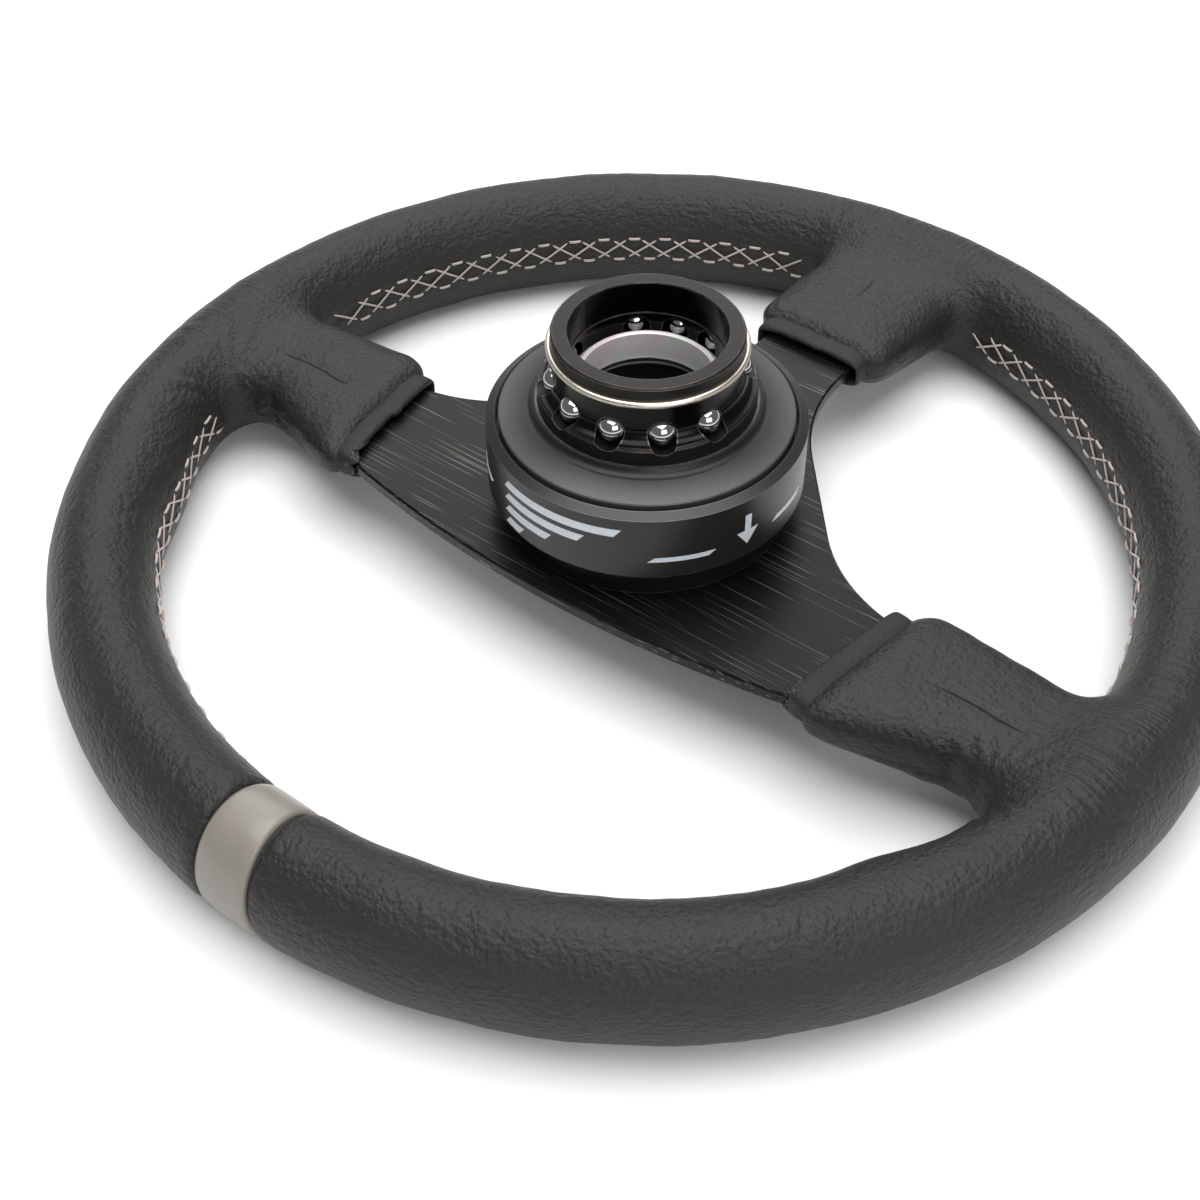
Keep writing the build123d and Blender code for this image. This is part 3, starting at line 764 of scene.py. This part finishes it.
stitch_unit = raise_mesh("stitch_unit", *one_stitch(), thread)
cross_stitch, stitch_inputs = seam_tree(stitch_unit)
stitch_turn = STITCH_PITCH / SEWN_R
for number, (start, span) in enumerate(SEAM_ARCS, 1):
    seam = bpy.data.objects.new("seam_to_be", bpy.data.meshes.new("seam_to_be"))
    bpy.context.scene.collection.objects.link(seam)
    sewing = seam.modifiers.new("sewing", "NODES")
    sewing.node_group = cross_stitch
    count = round(radians(span) / stitch_turn) - 1
    sewing[stitch_inputs["Stitch count"]] = count
    spare = radians(span) - (count + 1) * stitch_turn
    sewing[stitch_inputs["First angle"]] = radians(start) + spare / 2
    sewing[stitch_inputs["Angle between stitches"]] = stitch_turn
    sewing[stitch_inputs["Unevenness"]] = 0.25 / SEWN_R
    bpy.context.view_layer.update()
    sewn = seam.evaluated_get(bpy.context.evaluated_depsgraph_get())
    mesh = bpy.data.meshes.new_from_object(sewn)
    bpy.data.objects.remove(seam)
    # the thread follows the leather over the swellings for the thumbs
    sewn_at = np.empty(len(mesh.vertices) * 3)
    mesh.vertices.foreach_get("co", sewn_at)
    sewn_at = sewn_at.reshape(-1, 3)
    from_axis = np.hypot(sewn_at[:, 0], sewn_at[:, 1])
    sewn_at[:, :2] *= (1 - thumb_rest(*sewn_at[:, :2].T) * MM / from_axis)[:, None]
    mesh.vertices.foreach_set("co", sewn_at.ravel())
    mesh.update()
    mesh.polygons.foreach_set("use_smooth", [True] * len(mesh.polygons))
    finished = bpy.data.objects.new(f"cross_stitching_{number}", mesh)
    bpy.context.scene.collection.objects.link(finished)
    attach(finished, "wheel")
    if number == 1:
        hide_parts("rim_stitching")
bpy.data.objects.remove(stitch_unit)


# --- nose and flange ---------------------------------------------------------------------------
# The wheel's half of the release joint, turned from one aluminium bar and anodised satin black.
# The hollow race under the balls is polished, and the edges at the tip are painted lighter:
# part wear, part painted highlight.

def lathe_lines(finish, per_metre):
    """Fine rings about the wheel's axis, as turning leaves them, with the distance from the axis
    and the height that they are laid by."""
    at = finish.node("ShaderNodeSeparateXYZ", {}, {"Vector": finish.place()}, "X")
    x, y, up = at, at.part("Y"), at.part("Z")
    out = (x * x + y * y) ** 0.5
    way = finish.node("ShaderNodeCombineXYZ", {}, {"X": out, "Z": up})
    lines = finish.noise(finish.stretched(way, (per_metre, 1.0, per_metre)), 1.0)
    return lines, out, up


hub_black = Finish("anodised_hub", (0.02, 0.018, 0.016), 0.34, 0.75)
rings_cut, out, up = lathe_lines(hub_black, 2200.0)
edge_wear_and_highlight = hub_black.edge(0.0005, 0.03, 0.25)
handled = hub_black.noise(hub_black.place(), 260.0, 4.0, 0.65)
# the race and the wall above it, up to the wire ring, and the inside of the bore, in metres
RACE_REACH, BORE_REACH = 0.0308, 0.0225  # how far out from the axis each of them goes
RACE_DEPTH = 0.0172                      # from the tip of the nose down to the foot of the race
race_low, race_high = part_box("nose_body")[1][2] - RACE_DEPTH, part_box("nose_wire_ring")[0][2]
race = up.above(race_low) * up.below(race_high) * out.below(RACE_REACH)
inside = out.below(BORE_REACH)
polished = race.maths("MAXIMUM", race, inside)
hub_tone = hub_black.mix(handled, (0.015, 0.0135, 0.0125), (0.026, 0.0235, 0.022))
hub_tone = hub_black.mix(polished, hub_tone, (0.005, 0.0045, 0.004))
# lighter edges: part wear, part painted highlight
hub_tone = hub_black.mix(edge_wear_and_highlight * (handled * 2.2 - 0.5).clamped(), hub_tone, (0.42, 0.38, 0.34))
hub_black.feed("Base Color", hub_tone)
hub_black.feed("Roughness", 0.36 + rings_cut * 0.1 - polished * 0.2)
hub_black.feed("Normal", hub_black.bump(rings_cut, 0.00002, 0.5))
dress(hub_black, "nose_body")

cap_satin = Finish("satin_cap", (0.05, 0.048, 0.046), 0.34, 0.5)
rings_cut, out, up = lathe_lines(cap_satin, 1800.0)
edge_wear_and_highlight = cap_satin.edge(0.0005, 0.03, 0.25)
touched = cap_satin.noise(cap_satin.place(), 60.0, 3.0)
# painted light: the cone is painted dark at its foot and lighter towards its rim,
# for the light that its slope reflects
cap_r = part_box("cap_ring")[1][0]
cone_painted_light = ((out - cap_r * 0.8) * (1.0 / (cap_r * 0.17))).clamped()
cap_tone = cap_satin.mix(cone_painted_light, (0.012, 0.011, 0.0105), (0.062, 0.061, 0.060))
# lighter edges: part wear, part painted highlight
cap_satin.feed("Base Color", cap_satin.mix(edge_wear_and_highlight * 0.5, cap_tone, (0.24, 0.22, 0.20)))
cap_satin.feed("Roughness", 0.30 + rings_cut * 0.1 + touched * 0.08)
cap_satin.feed("Normal", cap_satin.bump(rings_cut, 0.00001, 0.4))
dress(cap_satin, "cap_ring")


# --- release collar ----------------------------------------------------------------------------
# Pulled towards the driver to let the wheel go. A turned aluminium skirt, satin anodised, with
# plain marks printed in white round its wall: bars that lean at their ends, and a pull arrow.

collar_black = Finish("anodised_collar", (0.03, 0.028, 0.026), 0.32, 0.55)
rings_cut = lathe_lines(collar_black, 1500.0)[0]
edge_wear_and_highlight = collar_black.edge(0.0005, 0.03, 0.25)
touched = collar_black.noise(collar_black.place(), 45.0, 3.0)
# lighter edges: part wear, part painted highlight
collar_black.feed("Base Color", collar_black.mix(edge_wear_and_highlight * 0.55, (0.036, 0.034, 0.033),
                                                 (0.28, 0.26, 0.24)))
collar_black.feed("Roughness", 0.27 + rings_cut * 0.08 + touched * 0.08)
collar_black.feed("Normal", collar_black.bump(rings_cut, 0.00001, 0.35))
dress(collar_black, "release_collar")

print_white = Finish("printed_white", (0.66, 0.71, 0.76), 0.55)
here = print_white.place()
ink = print_white.noise(here, 900.0, 3.0)
print_white.feed("Base Color", print_white.mix(ink, (0.56, 0.61, 0.66), (0.74, 0.79, 0.83)))
print_white.feed("Roughness", 0.48 + ink * 0.15)
COLLAR_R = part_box("release_collar")[1][0] / MM
PRINT_PROUD = 0.09


def printed_patch(corners):
    """Points and faces of a thin patch on the collar between four (degrees, height) corners."""
    slices = max(2, round((corners[1][0] - corners[0][0]) / 1.5))
    low_a, low_b, high_b, high_a = [np.array(c, float) for c in corners]
    points = []
    for r in (COLLAR_R - 0.1, COLLAR_R + PRINT_PROUD):
        for share in np.linspace(0, 1, slices + 1):
            foot = low_a + (low_b - low_a) * share
            head = high_a + (high_b - high_a) * share
            for degrees, height in (foot, head):
                a = radians(degrees)
                points.append((r * cos(a), r * sin(a), height))
    row = 2 * (slices + 1)
    faces = []
    for i in range(slices):
        a, b = 2 * i, 2 * i + 2
        faces += [(row + a, row + b, row + b + 1, row + a + 1), (a, a + 1, b + 1, b),
                  (a, b, row + b, row + a), (a + 1, row + a + 1, row + b + 1, b + 1)]
    faces += [(0, row, row + 1, 1), (row - 2, row - 1, 2 * row - 1, 2 * row - 2)]
    return points, faces


LEAN = 2.6                               # how far a bar's ends slope, in degrees round the wall
# first and last angle, height and thickness of each bar
bars = [(127, 151, 46.3, 1.5), (176, 196, 47.2, 1.5), (30, 57, 47.6, 1.5), (236, 262, 46.6, 1.5),
        (296, 322, 46.6, 1.5), (346, 372, 46.6, 1.5)]
# the wide mark beside the long bar: four broad bars that grow longer, each leaning the same way
bars += [(68, 79, 42.2, 2.6), (68, 92, 46.6, 2.6), (68, 105, 51.0, 2.6), (68, 118, 55.4, 2.6)]
patches = [[(start, height - thick / 2), (end - LEAN, height - thick / 2),
            (end, height + thick / 2), (start + LEAN, height + thick / 2)]
           for start, end, height, thick in bars]
# pull arrow: a stem and a head that points towards the driver
patches += [[(162.4, 49.5), (165.0, 49.5), (165.0, 55.0), (162.4, 55.0)],
            [(163.6, 44.6), (163.8, 44.6), (168.2, 49.5), (159.2, 49.5)]]
points, faces = [], []
for corners in patches:
    more, sides = printed_patch(corners)
    faces += [tuple(i + len(points) for i in face) for face in sides]
    points += more
collar_marks = raise_mesh("collar_marks", points, faces, print_white, smooth=False)
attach(collar_marks, "collar")


# --- wire ring, balls, locking sleeve and pins --------------------------------------------------
# The steel ring in the groove stops the joint from rattling. Chromed bearing balls stand out of
# the race, propped from inside by the bright zinc-plated sleeve that the collar carries.

wire_steel = Finish("wire_ring_satin", (0.66, 0.60, 0.52), 0.3, 1.0)
here = wire_steel.place()
drawn = wire_steel.noise(here, 1100.0, 3.0)
wire_steel.feed("Base Color", wire_steel.mix(drawn, (0.58, 0.53, 0.45), (0.76, 0.71, 0.62)))
wire_steel.feed("Roughness", 0.24 + drawn * 0.16)
wire_steel.feed("Normal", wire_steel.bump(drawn, 0.00003, 0.3))
dress(wire_steel, "nose_wire_ring")

ball_chrome = Finish("ball_chrome", (0.80, 0.80, 0.80), 0.07, 1.0)
smear = ball_chrome.noise(ball_chrome.place(), 420.0, 3.0)
ball_chrome.feed("Roughness", 0.04 + smear * 0.08)
ball_chrome.feed("Base Color", ball_chrome.mix(smear, (0.40, 0.40, 0.41), (0.52, 0.52, 0.52)))
balls = sorted(name for name in nodes if name.startswith("lock_ball"))
dress(ball_chrome, *balls)

sleeve_steel = Finish("plated_sleeve", (0.72, 0.74, 0.72), 0.4, 0.4)
rings_cut, out, up = lathe_lines(sleeve_steel, 1800.0)
tint = sleeve_steel.noise(sleeve_steel.place(), 75.0, 2.0)
sleeve_tone = sleeve_steel.ramp(tint, [(0.3, (0.72, 0.92, 0.80)), (0.5, (0.92, 0.92, 0.90)),
                                       (0.7, (0.95, 0.80, 0.84))])
# the plating is bright as far down as this from the sleeve's top; below it the colour is
# darker, part old grease and part painted shade deep in the bore
BRIGHT_DEPTH = 0.0105
grease_and_painted_shade = ((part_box("locking_sleeve")[1][2] - BRIGHT_DEPTH - up) * 500.0).clamped()
sleeve_steel.feed("Base Color", sleeve_steel.mix(grease_and_painted_shade, sleeve_tone, (0.02, 0.02, 0.02)))
sleeve_steel.feed("Roughness", 0.3 + rings_cut * 0.16)
sleeve_steel.feed("Normal", sleeve_steel.bump(rings_cut, 0.00002, 0.4))
dress(sleeve_steel, "locking_sleeve", "link_pins")

spring_steel = Finish("spring_steel", (0.36, 0.35, 0.34), 0.34, 1.0)
oiled = spring_steel.noise(spring_steel.place(), 300.0, 3.0)
spring_steel.feed("Base Color", spring_steel.mix(oiled, (0.26, 0.25, 0.24), (0.46, 0.45, 0.43)))
spring_steel.feed("Roughness", 0.26 + oiled * 0.2)
dress(spring_steel, "collar_spring", "horn_spring", "sleeve_snap_ring")


# --- hub screws --------------------------------------------------------------------------------
# Six countersunk steel screws with hexagon sockets, black oxide, that clamp the horn ring and the
# plate to the flange.

screw_black = Finish("black_oxide", (0.03, 0.03, 0.032), 0.38, 0.85)
edge_wear_and_highlight = screw_black.edge(0.0004, 0.03, 0.25)
oxide = screw_black.noise(screw_black.place(), 700.0, 3.0)
# lighter edges: part wear, part painted highlight
screw_black.feed("Base Color", screw_black.mix(edge_wear_and_highlight * 0.6, (0.028, 0.028, 0.03), (0.3, 0.29, 0.28)))
screw_black.feed("Roughness", 0.3 + oxide * 0.2)
screw_black.feed("Normal", screw_black.bump(oxide, 0.00002, 0.3))
dress(screw_black, "hub_screws")


# --- horn button -------------------------------------------------------------------------------
# Moulded black plastic housing and button with a fine spark-eroded texture, held by an anodised
# ring, and brass blades and disc that close the horn's circuit.

horn_plastic = Finish("moulded_plastic", (0.02, 0.02, 0.021), 0.48)
spark = horn_plastic.cells(horn_plastic.place(), 1900.0)
haze = horn_plastic.noise(horn_plastic.place(), 50.0, 2.0)
horn_plastic.feed("Base Color", horn_plastic.mix(haze, (0.006, 0.006, 0.0065),
                                                 (0.011, 0.011, 0.0115)))
horn_plastic.feed("Roughness", 0.42 + spark * 0.14)
horn_plastic.feed("Normal", horn_plastic.bump(spark, 0.00005, 0.3))
dress(horn_plastic, "horn_button", "horn_housing")
dress(hub_black, "horn_ring")

brass = Finish("brass_strip", (0.68, 0.50, 0.22), 0.3, 1.0)
tarnish = brass.noise(brass.place(), 180.0, 4.0)
brass.feed("Base Color", brass.mix(tarnish, (0.50, 0.36, 0.16), (0.78, 0.60, 0.30)))
brass.feed("Roughness", 0.2 + tarnish * 0.25)
dress(brass, "horn_contact_disc", "horn_terminals")


# --- hoop and foam inside the rim --------------------------------------------------------------
# A steel rod bent to a hoop and welded to the spokes, with polyurethane foam moulded round it.
# Both are hidden by the leather.

hoop_metal = Finish("hoop_steel", (0.25, 0.25, 0.25), 0.4, 1.0)
mill = hoop_metal.noise(hoop_metal.place(), 400.0, 3.0)
hoop_metal.feed("Base Color", hoop_metal.mix(mill, (0.18, 0.18, 0.18), (0.32, 0.31, 0.30)))
hoop_metal.feed("Roughness", 0.32 + mill * 0.2)
dress(hoop_metal, "rim_hoop")

rim_foam = Finish("moulded_foam", (0.02, 0.02, 0.02), 0.85)
bubbles = rim_foam.cells(rim_foam.place(), 1300.0)
rim_foam.feed("Base Color", rim_foam.mix(bubbles, (0.012, 0.012, 0.012), (0.03, 0.03, 0.03)))
rim_foam.feed("Normal", rim_foam.bump(bubbles, 0.0001, 0.5))
dress(rim_foam, "rim_foam")


# --- floor, light and camera -------------------------------------------------------------------
# The wheel lies on a seamless white table, driver's side down, under broad soft lamps.

bpy.ops.mesh.primitive_plane_add(size=8.0, location=(0, 0, cad_box[0][2] - 0.0005))
floor = bpy.context.object
floor.name = "white_table"
table_white = Finish("table_white", (0.86, 0.86, 0.86), 0.8)
table_white.feed("Base Color", table_white.mix(table_white.noise(table_white.place(), 3.0, 2.0),
                                               (0.855, 0.855, 0.855), (0.87, 0.87, 0.87)))
floor.data.materials.append(table_white.material)


def soft_lamp(name, place, aim, width, height, power):
    lamp = bpy.data.lights.new(name, "AREA")
    lamp.shape = "RECTANGLE"
    lamp.size, lamp.size_y, lamp.energy = width, height, power
    made = bpy.data.objects.new(name, lamp)
    made.location = place
    made.rotation_euler = (Vector(aim) - Vector(place)).to_track_quat("-Z", "Y").to_euler()
    bpy.context.scene.collection.objects.link(made)


def round_wheel(degrees, distance, height):
    """A place round the wheel, in metres, at this angle from +X."""
    return (distance * cos(radians(degrees)), distance * sin(radians(degrees)), height)


soft_lamp("top_box", (0, 0, 1.5), (0, 0, 0), 1.6, 1.6, 34)
soft_lamp("far_box", round_wheel(-54, 1.3, 0.9), (0, 0, 0.02), 1.8, 0.9, 11)
soft_lamp("near_box", round_wheel(150, 1.3, 0.8), (0, 0, 0.02), 1.2, 0.8, 9)

world = bpy.data.worlds.new("studio")
world.use_nodes = True
world.node_tree.nodes["Background"].inputs["Color"].default_value = (1, 1, 1, 1)
world.node_tree.nodes["Background"].inputs["Strength"].default_value = 0.22
bpy.context.scene.world = world
bpy.context.scene.view_settings.view_transform = "Standard"

CAMERA_TURN = radians(126)               # where the camera stands round the wheel, from +X
CAMERA_HEIGHT = 0.761406                 # radians above the horizon
CAMERA_DISTANCE = 0.545675
YAW, PITCH, ROLL = 0.024633, -0.018998, -0.016561
place = Vector((CAMERA_DISTANCE * cos(CAMERA_HEIGHT) * cos(CAMERA_TURN),
                CAMERA_DISTANCE * cos(CAMERA_HEIGHT) * sin(CAMERA_TURN),
                CAMERA_DISTANCE * sin(CAMERA_HEIGHT)))
ahead = -place.normalized()
right = ahead.cross(Vector((0, 0, 1))).normalized()
over = right.cross(ahead)
for axis_of, angle in (("over", YAW), ("right", PITCH), ("ahead", ROLL)):
    turned = Matrix.Rotation(angle, 3, {"over": over, "right": right, "ahead": ahead}[axis_of])
    ahead, right, over = turned @ ahead, turned @ right, turned @ over
lens = bpy.data.cameras.new("camera")
lens.sensor_width = 36
lens.lens = 53.13
lens.clip_start = 0.01
camera = bpy.data.objects.new("camera", lens)
facing = Matrix((right, over, -ahead)).transposed().to_4x4()
camera.matrix_world = Matrix.Translation(place) @ facing
bpy.context.scene.collection.objects.link(camera)
bpy.context.scene.camera = camera
